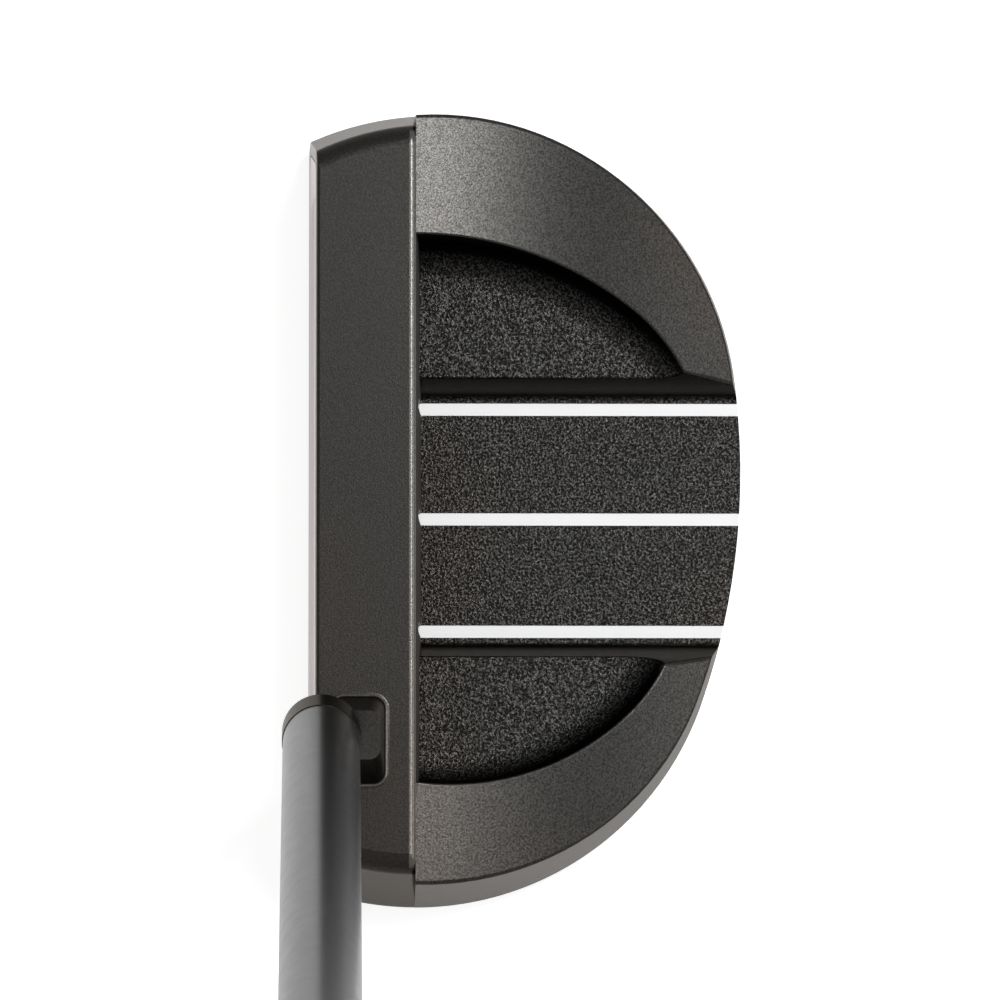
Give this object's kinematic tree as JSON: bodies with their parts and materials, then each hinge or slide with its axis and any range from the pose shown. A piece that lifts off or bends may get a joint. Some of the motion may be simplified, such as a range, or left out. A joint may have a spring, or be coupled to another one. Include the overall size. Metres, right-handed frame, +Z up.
{
  "type": "mallet putter",
  "caption": "Half-moon mallet putter: dark cast head with face insert, painted sight lines, sole weights, raised neck, shaft and grip.",
  "frame": {"origin": "on the flat of the sole, under the centre sight line, near mid-depth of the head", "axes": "+X from toe to heel, +Y from the striking face to the back of the head, +Z up; the shaft leans towards +X by the lie angle"},
  "size_m": [0.3731, 0.0654, 0.8144],
  "materials": {
    "dark_metal": "dark charcoal satin coating over a cast head; grain on the top, coarse cast texture on the floors",
    "milled_face": "light milled aluminium, slightly warm",
    "tape": "black adhesive foam tape",
    "white_paint": "white enamel paint fill",
    "weight_steel": "turned stainless steel",
    "glue": "cured shafting epoxy",
    "shaft_steel": "satin grey steel tube",
    "grip_tape": "double-sided grip tape",
    "grip_rubber": "black rubber",
    "cap_plastic": "black moulded cap"
  },
  "bodies": {
    "putter": {"head_body": "dark_metal", "face_insert": "milled_face", "insert_tape": "tape", "toe_sight_line": "white_paint", "center_sight_line": "white_paint", "heel_sight_line": "white_paint", "hosel_glue": "glue", "shaft": "shaft_steel", "grip_tape": "grip_tape", "grip_sleeve": "grip_rubber", "butt_cap": "cap_plastic"},
    "toe_screw": {"toe_weight": "weight_steel"},
    "heel_screw": {"heel_weight": "weight_steel"}
  },
  "joints": [
    {"name": "toe_weight_out", "type": "slide", "parent": "putter", "child": "toe_screw", "axis": [0, 0, -1], "range_m": [0, 0.009]},
    {"name": "heel_weight_out", "type": "slide", "parent": "putter", "child": "heel_screw", "axis": [0, 0, -1], "range_m": [0, 0.009]}
  ]
}
